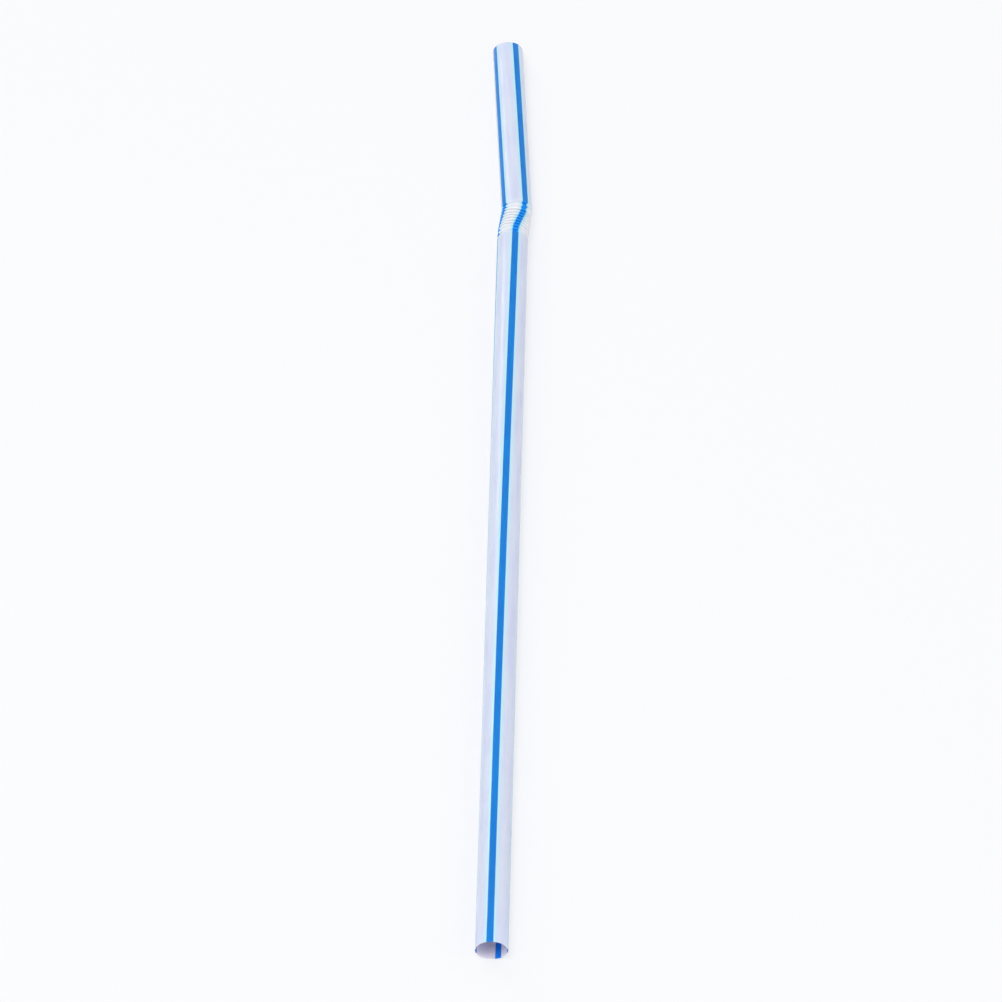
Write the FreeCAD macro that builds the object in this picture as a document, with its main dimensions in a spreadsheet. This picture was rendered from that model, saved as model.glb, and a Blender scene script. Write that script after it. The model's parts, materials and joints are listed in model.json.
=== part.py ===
import FreeCAD, Part
import math
import os
from FreeCAD import Placement, Rotation, Vector

# Flexible drinking straw: one thin plastic tube, with a stack of folds pressed into its wall between a long
# leg and a short leg. It lies on its side on the plane Z = 0, along Y, with the long leg's open end towards
# -Y. The folds are closed up, each one tucked into the next, except the few beside each leg that are open on
# one side and so turn the straw a little, all in the plane that it lies in.

doc = FreeCAD.newDocument("DrinkingStraw")

# Sizes, in millimetres and degrees
sheet = doc.addObject("Spreadsheet::Sheet", "Sizes")
driving_sizes = [
    ("outer_diameter", "6.0", "outside diameter of both legs and of the folds' crests"),
    ("wall_thickness", "0.16", "wall, the same in the legs and in the folds"),
    ("long_leg_length", "162.0", "from the long leg's open end to the first fold"),
    ("short_leg_length", "40.0", "from the last fold to the short leg's open end"),
    ("fold_count", "10", "grooves in the stack"),
    ("fold_pitch", "0.70", "from one crest to the next where the folds are closed up"),
    ("fold_depth", "0.60", "from a crest down to the bottom of its groove"),
    ("fold_rounding", "0.12", "radius at the middle of the wall, at crests and in grooves"),
    ("crease_bands", "3", "narrow cone bands that make up the wide side of a crease"),
    ("long_flank_reach", "0.56", "along the straw, from a crest's centre to the next groove's centre"),
    ("opened_folds", "2", "folds beside each leg that are open on one side"),
    ("lower_turn", "6.0", "turn between the long leg and the stack, to the right"),
    ("upper_turn", "9.8", "turn between the stack and the short leg, back to the left"),
]
for row, (alias, value, meaning) in enumerate(driving_sizes, start=1):
    sheet.set(f"A{row}", meaning)
    sheet.set(f"B{row}", value)
    sheet.setAlias(f"B{row}", alias)
doc.recompute()

outer_radius = sheet.outer_diameter / 2
wall = sheet.wall_thickness
fold_count = int(sheet.fold_count)
opened_folds = int(sheet.opened_folds)
pitch = sheet.fold_pitch
rounding = sheet.fold_rounding
crease_bands = int(sheet.crease_bands)
reach = sheet.long_flank_reach

# The tube's axis is one outside radius above the table. Local Z runs along the straw, and local X stays to
# the right.
leg_start = Placement(Vector(0, 0, outer_radius), Rotation(Vector(1, 0, 0), -90))
leg_end = leg_start * Placement(Vector(0, 0, sheet.long_leg_length), Rotation())


def step_to_next_crest(turn):
    """One fold along the stack: it hinges where it stays closed, on the side that the straw turns towards."""
    hinge = Vector(math.copysign(outer_radius, turn), 0, 0)
    return Placement(Vector(0, 0, pitch), Rotation(Vector(0, 1, 0), turn), hinge)


# Turn of each fold from the one before, and the place of every crest that follows from it
turns = [0.0] * fold_count
for index in range(opened_folds):
    turns[index] += sheet.lower_turn / opened_folds
    turns[-1 - index] -= sheet.upper_turn / opened_folds
crests = [leg_end]
for turn in turns:
    crests.append(crests[-1] * step_to_next_crest(turn))

# Outline of one fold in its own plane, with X the distance from the axis and Z along it. A crest's rounding
# and a groove's rounding bulge opposite ways, and each flank is the straight line that touches both.
crest_centre = Vector(outer_radius - wall / 2 - rounding, 0, 0)
groove_centre = Vector(outer_radius - wall / 2 - sheet.fold_depth + rounding, 0, reach)


def flank_normal(start, end, spacing):
    """Angle of the outward normal of a flank between two roundings whose centres are start and end.

    The two centres lie this spacing apart along that normal: more than nothing on the way into a groove.
    """
    across = end - start
    return math.atan2(across.z, across.x) - math.acos(spacing / across.Length)


# Every long flank stands at one angle. A short flank's angle is the mean of those round a fold that is open
# on one side, where the next crest stands further off by the turn at the straw's axis.
long_normal = flank_normal(crest_centre, groove_centre, 2 * rounding)
short_normals = []
for turn in turns:
    mean_pitch = pitch + outer_radius * math.sin(math.radians(abs(turn)))
    next_centre = crest_centre + Vector(0, 0, mean_pitch)
    short_normals.append(flank_normal(groove_centre, next_centre, -2 * rounding))


def crease(centre, radius, first, last):
    """Points round a crease, from one angle of its normal to another; a groove's radius is below nothing.

    The wide side of the bent wall is several narrow bands, and its narrow side is one.
    """
    bands = 1
    if abs(radius) > rounding:
        bands = max(1, round(crease_bands * abs(last - first) / (long_normal - min(short_normals))))
    points = []
    for step in range(bands + 1):
        angle = first + (last - first) * step / bands
        points.append(centre + Vector(math.cos(angle), 0, math.sin(angle)) * radius)
    return points


def crest_points(index, offset):
    """A crest's points, from the short flank before it to the long flank after it; a leg's wall runs on."""
    first = short_normals[index - 1] if index > 0 else 0
    last = long_normal if index < fold_count else 0
    return crease(crest_centre, rounding + offset, first, last)


def groove_points(index, offset):
    return crease(groove_centre, offset - rounding, long_normal, short_normals[index])


def circle(point, place):
    """Circle through a point of the outline, round the straw's axis."""
    edge = Part.Circle(Vector(0, 0, point.z), Vector(0, 0, 1), point.x).toShape()
    edge.Placement = place
    return edge


def skin(offset):
    """All the faces of one side of the folded wall; offset is that side's distance from the wall's middle."""
    faces = []
    for index, crest in enumerate(crests):
        outline = crest_points(index, offset)
        if index < fold_count:
            outline += groove_points(index, offset)
        spun = Part.makePolygon(outline).revolve(Vector(0, 0, 0), Vector(0, 0, 1), 360)
        spun.Placement = crest
        faces += spun.Faces
        if index < fold_count:
            # The short flank joins this groove to the next crest, which may be tilted against it
            inner_rim = circle(outline[-1], crest)
            outer_rim = circle(crest_points(index + 1, offset)[0], crests[index + 1])
            faces.append(Part.makeRuledSurface(inner_rim, outer_rim))
    return faces


def end_ring(crest):
    """Flat ring that closes the folded wall where it meets a leg."""
    rims = [Part.Wire(circle(Vector(radius, 0, 0), crest)) for radius in (outer_radius, outer_radius - wall)]
    return Part.makeFace(rims, "Part::FaceMakerBullseye")


# Folded wall, a closed shell of its outer skin, its inner skin and a ring at each end
folded_faces = skin(wall / 2) + skin(-wall / 2) + [end_ring(crests[0]), end_ring(crests[-1])]
folded_skin = Part.makeCompound(folded_faces)
folded_skin.sewShape()
folds = doc.addObject("Part::Feature", "FoldedWall")
folds.Shape = Part.makeSolid(folded_skin.Shells[0])


def tube(name, length_alias, place):
    """Straight leg, a cylinder cut through by its bore."""
    cylinders = []
    for suffix, radius in (("Outside", "Sizes.outer_diameter / 2"),
                           ("Bore", "Sizes.outer_diameter / 2 - Sizes.wall_thickness")):
        cylinder = doc.addObject("Part::Cylinder", name + suffix)
        cylinder.setExpression("Radius", radius)
        cylinder.setExpression("Height", "Sizes." + length_alias)
        cylinder.Placement = place
        cylinders.append(cylinder)
    leg = doc.addObject("Part::Cut", name)
    leg.Base, leg.Tool = cylinders
    return leg


long_leg = tube("LongLeg", "long_leg_length", leg_start)
short_leg = tube("ShortLeg", "short_leg_length", crests[-1])

# The straw is one piece, so its legs and its folded wall are joined face to face
straw = doc.addObject("Part::MultiFuse", "Straw")
straw.Label = "straw"
straw.Shapes = [long_leg, folds, short_leg]
straw.Refine = True
doc.recompute()

# The origin is on the table, under the middle of the straw's outline
box = straw.Shape.optimalBoundingBox(False)
straw.Placement = Placement(Vector(-box.Center.x, -box.Center.y, 0), Rotation())
doc.recompute()

for thing in doc.Objects:
    if "Invalid" in thing.State or "Error" in thing.State:
        raise RuntimeError(f"{thing.Name} didn't compute: {thing.State}")
if straw.Shape.isNull() or not straw.Shape.isValid() or len(straw.Shape.Solids) != 1:
    raise RuntimeError("the straw isn't one valid solid")

os.makedirs("parts", exist_ok=True)
straw.Shape.exportStep(f"parts/{straw.Label}.step")
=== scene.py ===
import json
import math
import bpy
import bmesh
from mathutils import Matrix, Vector


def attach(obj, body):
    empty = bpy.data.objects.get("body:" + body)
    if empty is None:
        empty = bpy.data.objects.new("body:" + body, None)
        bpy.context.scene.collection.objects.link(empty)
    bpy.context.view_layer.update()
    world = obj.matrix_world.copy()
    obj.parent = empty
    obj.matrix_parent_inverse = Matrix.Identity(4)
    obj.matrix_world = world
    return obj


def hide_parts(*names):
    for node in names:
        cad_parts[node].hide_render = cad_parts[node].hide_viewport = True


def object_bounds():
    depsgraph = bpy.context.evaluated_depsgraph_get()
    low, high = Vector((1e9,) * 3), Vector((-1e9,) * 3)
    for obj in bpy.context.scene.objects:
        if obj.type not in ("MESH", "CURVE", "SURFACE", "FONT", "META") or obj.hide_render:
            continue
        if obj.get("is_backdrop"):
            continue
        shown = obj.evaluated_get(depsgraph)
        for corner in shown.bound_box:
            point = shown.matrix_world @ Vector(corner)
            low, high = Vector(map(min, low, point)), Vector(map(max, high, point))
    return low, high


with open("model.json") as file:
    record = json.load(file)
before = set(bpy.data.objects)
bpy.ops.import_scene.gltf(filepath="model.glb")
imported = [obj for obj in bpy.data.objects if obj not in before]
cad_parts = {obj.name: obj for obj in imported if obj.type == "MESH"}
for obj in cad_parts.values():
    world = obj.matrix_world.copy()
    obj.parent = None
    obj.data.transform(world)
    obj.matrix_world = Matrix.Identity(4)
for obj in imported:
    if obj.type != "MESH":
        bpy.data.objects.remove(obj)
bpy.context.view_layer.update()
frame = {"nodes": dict(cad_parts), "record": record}        # nodes and the imported record
mm = 0.001
tinyTurn = 1e-6          # radians, under which a ring isn't turned
tinyGrowth = 1e-9        # metres, under which a ring isn't resized
mounts = {mount["name"]: mount for mount in frame["record"]["mounts"]}
print("frame loaded:", sorted(frame["nodes"]))


# Straw: one thin tube, grown ring by ring along its outer skin and back along its inner skin
straw = {
    "outerRadius": mounts["long_outside"]["dims"]["r_mm"] * mm,
    "boreRadius": mounts["long_bore"]["dims"]["r_mm"] * mm,
    "longLeg": mounts["long_bore"]["dims"]["length_mm"] * mm,
    "shortLeg": mounts["short_bore"]["dims"]["length_mm"] * mm,
    "sides": 96,                 # corners of one ring
    "ringStep": 5.0 * mm,        # from ring to ring along a leg
    "cutRounding": 0.035 * mm,   # soft edge where the tube was cut off
    "cutSteps": 3,
    "smoothAngle": 50,           # degrees
}
folds = {
    "count": 10,
    "pitch": 0.70 * mm,
    "depth": 0.60 * mm,
    "rounding": 0.12 * mm,        # at the middle of the wall
    "longFlankReach": 0.56 * mm,  # along the straw, from a crest's centre to the next groove's
    "openFolds": 2,               # beside each leg
    "lowerTurn": 6.0,             # degrees to the right
    "upperTurn": 9.8,             # degrees back to the left
    "crestSteps": 6,
    "grooveSteps": 4,
}
stripes = {
    "angles": (0, 98, 161, 268),  # degrees round the tube, from the one on top
    "width": 1.28 * mm,
    "softEdge": 0.10 * mm,
    "startTurn": -6.0,            # degrees from straight up at the long leg's end
    "drift": 16.5,                # turned further by the first fold
    "driftPower": 1.7,            # over 1 turns more towards the folds
    "foldTwist": 25.0,            # turned further by the folds
    "shortDrift": -5.0,           # and back along the short leg
}

wall = straw["outerRadius"] - straw["boreRadius"]
wallMiddle = straw["outerRadius"] - wall / 2
legEnd = straw["longLeg"]
foldsEnd = legEnd + folds["count"] * folds["pitch"]


def slide(place, distance):
    # the same place, moved along the straw
    return place @ Matrix.Translation((0, 0, distance))


def crestPlaces():
    # one matrix for each crest: local Z runs along the straw, local X stays to the right
    mouth = Vector(mounts["long_outside"]["pos_m"])
    place = slide(Matrix.Translation(mouth) @ Matrix.Rotation(math.radians(-90), 4, "X"), legEnd)
    turns = [0.0] * folds["count"]
    for index in range(folds["openFolds"]):
        turns[index] += folds["lowerTurn"] / folds["openFolds"]
        turns[-1 - index] -= folds["upperTurn"] / folds["openFolds"]
    places = [place]
    for turn in turns:
        hinge = Vector((math.copysign(straw["outerRadius"], turn), 0, 0))
        swing = Matrix.Rotation(math.radians(turn), 4, "Y")
        fold = Matrix.Translation(hinge) @ swing @ Matrix.Translation(-hinge)
        place = slide(place, folds["pitch"]) @ fold
        places.append(place)
    return places, turns


def flankNormal(start, end, spacing):
    # angle of the outward normal of a flank between two creases whose centres are start and end
    across = end - start
    return math.atan2(across.y, across.x) - math.acos(spacing / across.length)


def creasePoints(centre, radius, first, last, steps):
    points = []
    for step in range(steps + 1):
        angle = first + (last - first) * step / steps
        points.append(centre + Vector((math.cos(angle), math.sin(angle))) * radius)
    return points


def cutEdge(radius, offset):
    # rounded corner of a cut end as (radius, way in from the end)
    cut = straw["cutRounding"]
    side = math.copysign(1, offset)
    points = []
    for step in range(straw["cutSteps"] + 1):
        angle = math.pi / 2 * step / straw["cutSteps"]
        points.append((radius - side * cut * (1 - math.sin(angle)), cut * (1 - math.cos(angle))))
    return points


def legRings(start, startAlong, length, radius):
    # rings between a leg's two ends
    count = round(length / straw["ringStep"])
    rings = []
    for index in range(1, count):
        reach = length * index / count
        rings.append((slide(start, reach), radius, startAlong + reach))
    return rings


def foldRings(offset, crests, turns):
    # rings of the creases; a flank is the straight stretch from one crease to the next
    rounding = folds["rounding"]
    crestCentre = Vector((wallMiddle - rounding, 0))
    grooveCentre = Vector((wallMiddle - folds["depth"] + rounding, folds["longFlankReach"]))
    longNormal = flankNormal(crestCentre, grooveCentre, 2 * rounding)
    shortNormals = []
    for turn in turns:
        gap = folds["pitch"] + straw["outerRadius"] * math.sin(math.radians(abs(turn)))
        shortNormals.append(flankNormal(grooveCentre, crestCentre + Vector((0, gap)), -2 * rounding))

    rings = []
    for index, crest in enumerate(crests):
        first = shortNormals[index - 1] if index > 0 else 0
        last = longNormal if index < folds["count"] else 0
        outline = creasePoints(crestCentre, rounding + offset, first, last, folds["crestSteps"])
        if index < folds["count"]:
            outline += creasePoints(grooveCentre, offset - rounding, longNormal, shortNormals[index],
                                    folds["grooveSteps"])
        for point in outline:
            along = legEnd + index * folds["pitch"] + point.y
            rings.append((slide(crest, point.y), point.x, along))
    return rings


def skinRings(offset, crests, turns):
    # every ring of one skin as (place, radius, way along the straw); offset is from the middle of the wall
    radius = wallMiddle + offset
    start = slide(crests[0], -legEnd)
    cut = cutEdge(radius, offset)
    rings = [(slide(start, inward), ringRadius, inward) for ringRadius, inward in cut]
    rings += legRings(start, 0, legEnd, radius)
    rings += foldRings(offset, crests, turns)
    rings += legRings(crests[-1], foldsEnd, straw["shortLeg"], radius)
    for ringRadius, inward in reversed(cut):
        reach = straw["shortLeg"] - inward
        rings.append((slide(crests[-1], reach), ringRadius, foldsEnd + reach))
    return rings


def stripeTurn(along):
    # how far the stripes have turned round the straw, in degrees
    onLong = min(along / legEnd, 1)
    inFolds = min(max((along - legEnd) / (foldsEnd - legEnd), 0), 1)
    onShort = max((along - foldsEnd) / straw["shortLeg"], 0)
    inFolds = inFolds * inFolds * (3 - 2 * inFolds)
    return (stripes["startTurn"] + stripes["drift"] * onLong ** stripes["driftPower"]
            + stripes["foldTwist"] * inFolds + stripes["shortDrift"] * onShort)


def markRing(piece, place, along, inside):
    # keeps on every new point the sine and cosine of its angle from the top stripe, its way along the
    # straw, and 1 if it is on the bore's side
    mesh = bmesh.from_edit_mesh(piece.data)
    wrap = mesh.verts.layers.float_vector["wrap"]
    bore = mesh.verts.layers.float["bore"]
    back = place.inverted()
    turn = math.radians(stripeTurn(along))
    for vertex in mesh.verts:
        if vertex.select:
            local = back @ vertex.co
            angle = math.atan2(local.x, -local.y) - turn
            vertex[wrap] = (math.sin(angle), math.cos(angle), along)
            vertex[bore] = inside


def buildStraw():
    crests, turns = crestPlaces()
    rings = [(*ring, 0) for ring in skinRings(wall / 2, crests, turns)]
    rings += [(*ring, 1) for ring in reversed(skinRings(-wall / 2, crests, turns))]

    bpy.ops.object.select_all(action="DESELECT")
    place, radius, along, inside = rings[0]
    bpy.ops.mesh.primitive_circle_add(vertices=straw["sides"], radius=radius, location=place.translation,
                                      rotation=(math.radians(-90), 0, 0))
    piece = bpy.context.active_object
    piece.name = "striped_tube"
    bpy.ops.object.transform_apply(location=True, rotation=True, scale=True)
    piece.data.attributes.new("wrap", "FLOAT_VECTOR", "POINT")
    piece.data.attributes.new("bore", "FLOAT", "POINT")
    bpy.ops.object.mode_set(mode="EDIT")
    bpy.ops.mesh.select_all(action="SELECT")
    markRing(piece, place, along, inside)
    for newPlace, newRadius, along, inside in rings[1:]:
        centre = newPlace.translation
        bpy.ops.mesh.extrude_region_move(TRANSFORM_OT_translate={"value": centre - place.translation})
        before = place.to_3x3().col[2]
        after = newPlace.to_3x3().col[2]
        swing = math.atan2(before.cross(after).z, before.dot(after))
        if abs(swing) > tinyTurn:
            bpy.ops.transform.rotate(value=-swing, orient_axis="Z", center_override=centre)
        if abs(newRadius - radius) > tinyGrowth:
            bpy.ops.transform.resize(value=(newRadius / radius,) * 3, center_override=centre)
        markRing(piece, newPlace, along, inside)
        place, radius = newPlace, newRadius

    # the last ring joins the first one at the long leg's cut
    bpy.ops.mesh.select_all(action="DESELECT")
    bpy.ops.mesh.select_non_manifold(extend=False, use_wire=False, use_boundary=True,
                                     use_multi_face=False, use_non_contiguous=False, use_verts=False)
    bpy.ops.mesh.bridge_edge_loops()
    bpy.ops.mesh.select_all(action="SELECT")
    bpy.ops.mesh.normals_make_consistent(inside=False)
    bpy.ops.object.mode_set(mode="OBJECT")
    bpy.ops.object.shade_smooth_by_angle(angle=math.radians(straw["smoothAngle"]))
    print("tube built:", len(rings), "rings,", len(piece.data.polygons), "faces")
    return piece


tube = buildStraw()


# Plastic: one glossy shader that takes some light into the wall; its colours follow the points' own values,
# with a painted highlight in the folds and painted light in the bore
plastic = {
    "colours": {                     # as on a screen, 0 to 255
        "body": (221, 229, 255),
        "bodyCool": (213, 220, 252),
        "besideStripe": (194, 241, 255),
        "stripe": (0, 136, 224),
        "stripeDeep": (0, 124, 212),
        # the folds' whiter body and brighter stripe below are a painted highlight
        "foldPaintedHighlight": (243, 246, 255),
        "foldStripePaintedHighlight": (26, 158, 244),
        # the bore's colours below are painted lighter to stand in for light in the shaded bore, and their
        # lavender tint is a painted reflection
        "inside": (246, 240, 255),
        "stripeInsideLightened": (30, 140, 248),
    },
    "besideWidth": 0.85 * mm,        # pale edge beside a stripe
    "besideStrength": 0.95,
    "edgeWobble": 0.05 * mm,         # unevenness of a stripe's edge
    "wobbleNoise": (1.3, 3.0),       # scale and detail, as in the next noises
    "cloudNoise": (2.2, 4.0),        # clouds of the body's two colours
    "cloudStretch": 45.0,            # the lower, the longer the clouds lie along the tube
    "cloudLimits": (0.35, 0.7),
    "lineNoise": (26.0, 5.0),        # fine lines that the die leaves along the tube
    "lineStretch": 12.0,
    "lineLimits": (0.3, 0.7),
    "lineStrength": 0.6,
    "lineHeight": 0.005 * mm,
    "streakShares": (0.6, 0.4),      # of lines and of clouds in the stripes' streaks
    "streakLimits": (0.38, 0.62),
    "highlightBeforeFolds": 0.2 * mm,    # where the folds' painted highlight begins and where it is full
    "highlightInFolds": 0.4 * mm,
    "roughness": (0.13, 0.24),
    "ior": 1.49,
    "gloss": 0.27,                   # under the 0.5 of a polished plastic
    "glow": 0.60,                    # light that passes into the wall and through it
    "glowDepth": 0.2 * mm,
    "glowColour": (0.8, 0.9, 1.0),
}
nodeGap = (190, 170)                 # between nodes in the shader editor


def fromScreen(colour):
    # a screen colour as the linear colour that a shader takes, with its alpha
    linear = []
    for part in colour:
        level = part / 255
        linear.append(level / 12.92 if level <= 0.04045 else ((level + 0.055) / 1.055) ** 2.4)
    return linear + [1]


def addNode(tree, kind, place, **settings):
    node = tree.nodes.new(kind)
    node.location = (place[0] * nodeGap[0], -place[1] * nodeGap[1])
    for name, value in settings.items():
        setattr(node, name, value)
    return node


def feed(tree, node, **inputs):
    # each input is a number, a colour or the output of another node; "a_1" stands for the input numbered 1
    for name, value in inputs.items():
        socket = node.inputs[int(name[2:])] if name.startswith("a_") else node.inputs[name.replace("_", " ")]
        if isinstance(value, bpy.types.NodeSocket):
            tree.links.new(value, socket)
        else:
            socket.default_value = value


def maths(tree, operation, place, *values):
    node = addNode(tree, "ShaderNodeMath", place, operation=operation)
    feed(tree, node, **{f"a_{index}": value for index, value in enumerate(values)})
    return node.outputs[0]


def ramp(tree, place, value, start, end, low=0.0, high=1.0):
    # a soft step from low to high as the value goes from start to end
    node = addNode(tree, "ShaderNodeMapRange", place, interpolation_type="SMOOTHSTEP")
    feed(tree, node, a_0=value, a_1=start, a_2=end, a_3=low, a_4=high)
    return node.outputs[0]


def blendColours(tree, place, share, first, second):
    node = addNode(tree, "ShaderNodeMix", place, data_type="RGBA")
    feed(tree, node, a_0=share, a_6=first, a_7=second)
    return node.outputs[2]


def noise(tree, place, vector, scale, detail):
    node = addNode(tree, "ShaderNodeTexNoise", place)
    feed(tree, node, Vector=vector, Scale=scale, Detail=detail)
    return node.outputs[0]


def stretchedPlace(tree, place, across, upright, along, stretch):
    # a point's place for a noise that is quick round the tube and slow along it
    reach = maths(tree, "MULTIPLY", (place[0] - 1, place[1] + 1), along, stretch)
    node = addNode(tree, "ShaderNodeCombineXYZ", place)
    feed(tree, node, X=across, Y=upright, Z=reach)
    return node.outputs[0]


def stripeDistance(tree, around, wobble):
    # distance from the nearest stripe's middle, in metres round the outside
    nearest = None
    for index, angle in enumerate(stripes["angles"]):
        away = maths(tree, "SUBTRACT", (3, index), around, math.radians(angle))
        away = maths(tree, "WRAP", (4, index), away, math.pi, -math.pi)
        away = maths(tree, "ABSOLUTE", (5, index), away)
        nearest = away if nearest is None else maths(tree, "MINIMUM", (6, index), nearest, away)
    uneven = maths(tree, "MULTIPLY", (6, 5), wobble, plastic["edgeWobble"])
    return maths(tree, "MULTIPLY_ADD", (7, 3), nearest, straw["outerRadius"], uneven)


def foldHighlightShare(tree, along):
    # 1 in the folds and 0 on the legs; it places the folds' painted highlight
    before, inFolds = plastic["highlightBeforeFolds"], plastic["highlightInFolds"]
    enter = ramp(tree, (8, 6), along, legEnd - before, legEnd + inFolds)
    leave = ramp(tree, (8, 7), along, foldsEnd - inFolds, foldsEnd + before, 1, 0)
    return maths(tree, "MULTIPLY", (9, 6), enter, leave)


def plasticMaterial():
    material = bpy.data.materials.new("stripedPlastic")
    material.use_nodes = True
    tree = material.node_tree
    tree.nodes.clear()
    paint = {name: fromScreen(colour) for name, colour in plastic["colours"].items()}

    # where a point is: its angle from the top stripe, its way along the tube and its side of the wall
    wrap = addNode(tree, "ShaderNodeAttribute", (0, 2), attribute_name="wrap")
    parts = addNode(tree, "ShaderNodeSeparateXYZ", (1, 2))
    feed(tree, parts, Vector=wrap.outputs["Vector"])
    across, upright, along = parts.outputs
    around = maths(tree, "ARCTAN2", (2, 1), across, upright)
    bore = addNode(tree, "ShaderNodeAttribute", (10, 10), attribute_name="bore").outputs["Fac"]

    linePlace = stretchedPlace(tree, (2, 4), across, upright, along, plastic["lineStretch"])
    cloudPlace = stretchedPlace(tree, (2, 6), across, upright, along, plastic["cloudStretch"])
    lines = noise(tree, (4, 9), linePlace, *plastic["lineNoise"])
    clouds = noise(tree, (4, 7), cloudPlace, *plastic["cloudNoise"])
    wobble = noise(tree, (4, 5), cloudPlace, *plastic["wobbleNoise"])
    wobble = maths(tree, "SUBTRACT", (5, 5), wobble, 0.5)  # a noise's middle

    # masks of the stripes, of their pale edges and of the folds' painted highlight
    nearest = stripeDistance(tree, around, wobble)
    half = stripes["width"] / 2
    soft = stripes["softEdge"] / 2
    inStripe = ramp(tree, (8, 2), nearest, half + soft, half - soft)
    paleEdge = half + plastic["besideWidth"]
    besideStripe = ramp(tree, (8, 4), nearest, paleEdge, half, 0, plastic["besideStrength"])
    inFolds = foldHighlightShare(tree, along)

    cloudy = ramp(tree, (8, 8), clouds, *plastic["cloudLimits"])
    body = blendColours(tree, (9, 8), cloudy, paint["body"], paint["bodyCool"])
    # painted highlight: the body is painted whiter in the folds
    body = blendColours(tree, (10, 6), inFolds, body, paint["foldPaintedHighlight"])
    body = blendColours(tree, (11, 5), besideStripe, body, paint["besideStripe"])
    # painted light: the bore's side is painted lighter and lavender, standing in for light and reflections
    # inside the bore
    body = blendColours(tree, (11, 7), bore, body, paint["inside"])

    lineShare, cloudShare = plastic["streakShares"]
    streaks = maths(tree, "MULTIPLY", (7, 5), clouds, cloudShare)
    streaks = maths(tree, "MULTIPLY_ADD", (8, 3), lines, lineShare, streaks)
    streaks = ramp(tree, (9, 3), streaks, *plastic["streakLimits"])
    stripe = blendColours(tree, (10, 3), streaks, paint["stripe"], paint["stripeDeep"])
    # painted highlight: the stripe is painted brighter in the folds
    stripe = blendColours(tree, (10, 4), inFolds, stripe, paint["foldStripePaintedHighlight"])
    # painted light: the stripe is painted lighter in the bore
    stripe = blendColours(tree, (11, 3), bore, stripe, paint["stripeInsideLightened"])
    colour = blendColours(tree, (12, 3), inStripe, body, stripe)

    rough = ramp(tree, (10, 8), lines, *plastic["lineLimits"], *plastic["roughness"])
    bump = addNode(tree, "ShaderNodeBump", (12, 8))
    feed(tree, bump, Height=lines, Strength=plastic["lineStrength"], Distance=plastic["lineHeight"])

    shader = addNode(tree, "ShaderNodeBsdfPrincipled", (14, 3))
    feed(tree, shader, Base_Color=colour, Roughness=rough, IOR=plastic["ior"], Normal=bump.outputs[0],
         Specular_IOR_Level=plastic["gloss"], Subsurface_Weight=plastic["glow"],
         Subsurface_Radius=plastic["glowColour"], Subsurface_Scale=plastic["glowDepth"])
    output = addNode(tree, "ShaderNodeOutputMaterial", (16, 3))
    feed(tree, output, Surface=shader.outputs[0])
    return material


tube.data.materials.append(plasticMaterial())
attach(tube, "root")
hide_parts("straw")
print("plastic on")


# Table: a pale sheet of board that keeps a soft shadow
table = {
    "size": 6.0,
    "colour": (243, 245, 249),
    "paleness": 0.66,            # how much of the plain background the camera sees in it
    "grainNoise": (900.0, 3.0),  # scale and detail
    "grainLimits": (0.3, 0.7),
    "roughness": (0.8, 0.95),
    "gloss": 0.2,
}


def whiteRays(tree, place, strength):
    # 1 for rays from the camera, or by way of a gloss or a clear wall, times a strength
    x, y = place
    path = addNode(tree, "ShaderNodeLightPath", place)
    seen = maths(tree, "MAXIMUM", (x + 1, y), path.outputs["Is Camera Ray"], path.outputs["Is Glossy Ray"])
    seen = maths(tree, "MAXIMUM", (x + 2, y), seen, path.outputs["Is Transmission Ray"])
    return maths(tree, "MULTIPLY", (x + 3, y), seen, strength)


def boardMaterial():
    material = bpy.data.materials.new("paleBoard")
    material.use_nodes = True
    tree = material.node_tree
    tree.nodes.clear()
    place = addNode(tree, "ShaderNodeTexCoord", (0, 4))
    grain = noise(tree, (1, 4), place.outputs["Object"], *table["grainNoise"])
    rough = ramp(tree, (2, 4), grain, *table["grainLimits"], *table["roughness"])
    matt = addNode(tree, "ShaderNodeBsdfPrincipled", (3, 3))
    feed(tree, matt, Base_Color=fromScreen(table["colour"]), Roughness=rough,
         Specular_IOR_Level=table["gloss"])
    plain = addNode(tree, "ShaderNodeEmission", (3, 6))
    feed(tree, plain, Color=(1, 1, 1, 1), Strength=1.0)
    pale = whiteRays(tree, (0, 1), table["paleness"])
    mix = addNode(tree, "ShaderNodeMixShader", (5, 3))
    feed(tree, mix, a_0=pale, a_1=matt.outputs[0], a_2=plain.outputs[0])
    output = addNode(tree, "ShaderNodeOutputMaterial", (6, 3))
    feed(tree, output, Surface=mix.outputs[0])
    return material


def buildTable():
    bpy.ops.object.select_all(action="DESELECT")
    bpy.ops.mesh.primitive_plane_add(size=table["size"], location=(0, 0, 0))
    board = bpy.context.active_object
    board.name = "table"
    board.data.materials.append(boardMaterial())
    board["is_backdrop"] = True


buildTable()
print("table laid")


# Light: a broad lamp overhead, a weak warm one at the right, a long one behind for the sheen, a pale room
lamps = {
    "keyLamp": {
        "place": (-0.22, -0.30, 1.30),
        "size": (0.6, 0.6),
        "watts": 7.6,
        "colour": (0.99, 0.99, 1.0),
    },
    "fillLamp": {
        "place": (0.95, -0.10, 0.75),
        "size": (0.8, 0.8),
        "watts": 1.4,
        "colour": (1.0, 0.89, 0.91),
    },
    "sheenLamp": {
        "place": (-0.84, 0.79, 0.70),
        "size": (0.08, 0.9),
        "watts": 1.7,
        "colour": (0.97, 0.99, 1.0),
    },
}
room = {
    "light": 0.53,       # on the straw and the table
    "seen": 1.0,         # to the camera and in reflections
}


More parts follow.
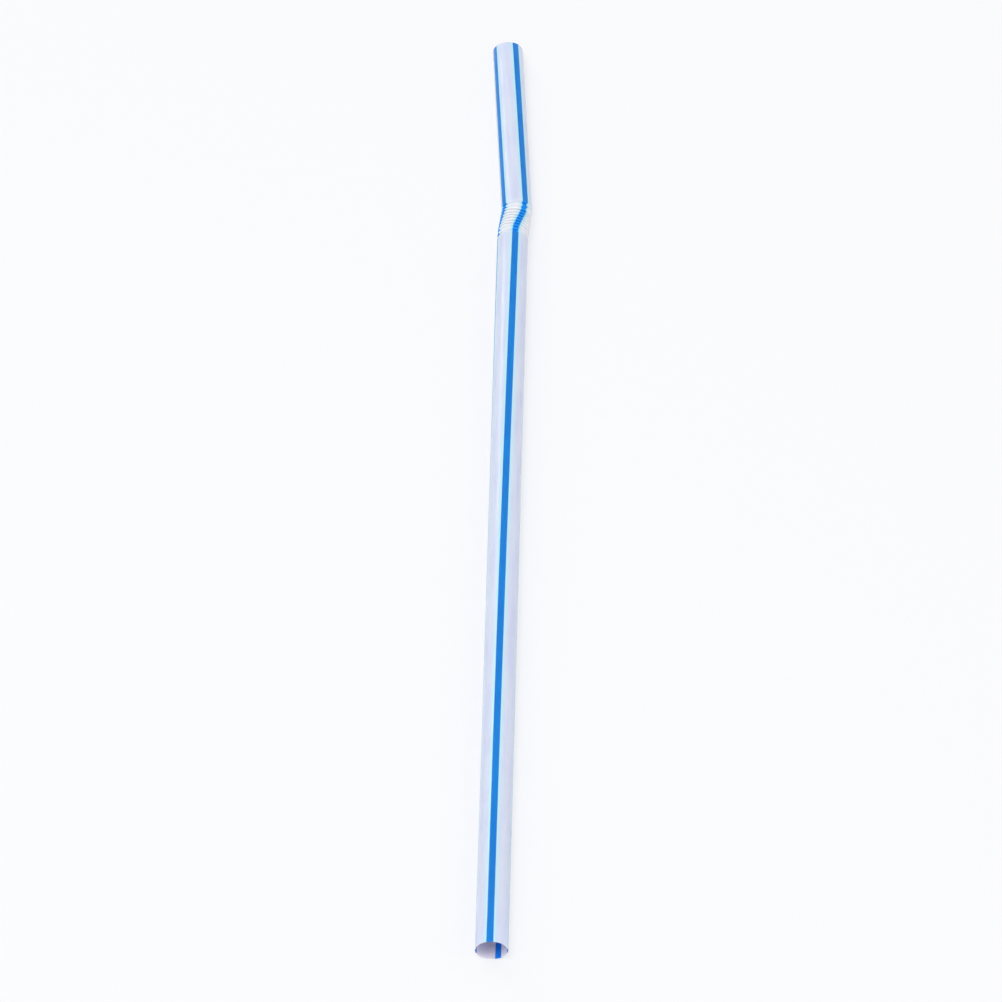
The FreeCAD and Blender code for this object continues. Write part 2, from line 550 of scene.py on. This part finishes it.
def hangLamp(name, settings):
    data = bpy.data.lights.new(name, "AREA")
    data.shape = "RECTANGLE"
    data.size, data.size_y = settings["size"]
    data.energy = settings["watts"]
    data.color = settings["colour"]
    lamp = bpy.data.objects.new(name, data)
    lamp.location = settings["place"]
    lamp.rotation_euler = (-Vector(settings["place"])).to_track_quat("-Z", "Y").to_euler()
    bpy.context.scene.collection.objects.link(lamp)


def paleRoom():
    world = bpy.data.worlds.new("paleRoom")
    world.use_nodes = True
    tree = world.node_tree
    tree.nodes.clear()
    level = addNode(tree, "ShaderNodeMapRange", (4, 0))
    feed(tree, level, a_0=whiteRays(tree, (0, 0), 1.0), a_3=room["light"], a_4=room["seen"])
    background = addNode(tree, "ShaderNodeBackground", (5, 1))
    feed(tree, background, Color=(1, 1, 1, 1), Strength=level.outputs[0])
    output = addNode(tree, "ShaderNodeOutputWorld", (6, 1))
    feed(tree, output, Surface=background.outputs[0])
    bpy.context.scene.world = world


for lampName, lampSettings in lamps.items():
    hangLamp(lampName, lampSettings)
paleRoom()
print("lamps hung")


# Camera: a long lens that looks down along the straw from its open end
camera = {
    "elevation": 54.0,       # degrees, as is the azimuth
    "azimuth": 1.4,
    "distance": 1.19,
    "aim": (0.0, -0.0055, 0.003),
    "fill": 0.90,            # the straw's share of the picture's height
    "sensor": 36.0,          # millimetres
    "clip": (0.05, 20.0),
}


def placeCamera():
    low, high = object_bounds()
    up = math.radians(camera["elevation"])
    turn = math.radians(camera["azimuth"])
    back = Vector((math.sin(turn) * math.cos(up), -math.cos(turn) * math.cos(up), math.sin(up)))
    seenLength = (high.y - low.y) * math.sin(up) / camera["fill"]
    data = bpy.data.cameras.new("camera")
    data.sensor_width = camera["sensor"]
    data.lens = data.sensor_width * camera["distance"] / seenLength
    data.clip_start, data.clip_end = camera["clip"]
    data.dof.use_dof = False
    eye = bpy.data.objects.new("camera", data)
    eye.location = Vector(camera["aim"]) + back * camera["distance"]
    eye.rotation_euler = (-back).to_track_quat("-Z", "Y").to_euler()
    bpy.context.scene.collection.objects.link(eye)
    bpy.context.scene.camera = eye
    print("camera lens:", round(data.lens, 1), "mm")


placeCamera()
bpy.context.scene.view_settings.view_transform = "Standard"
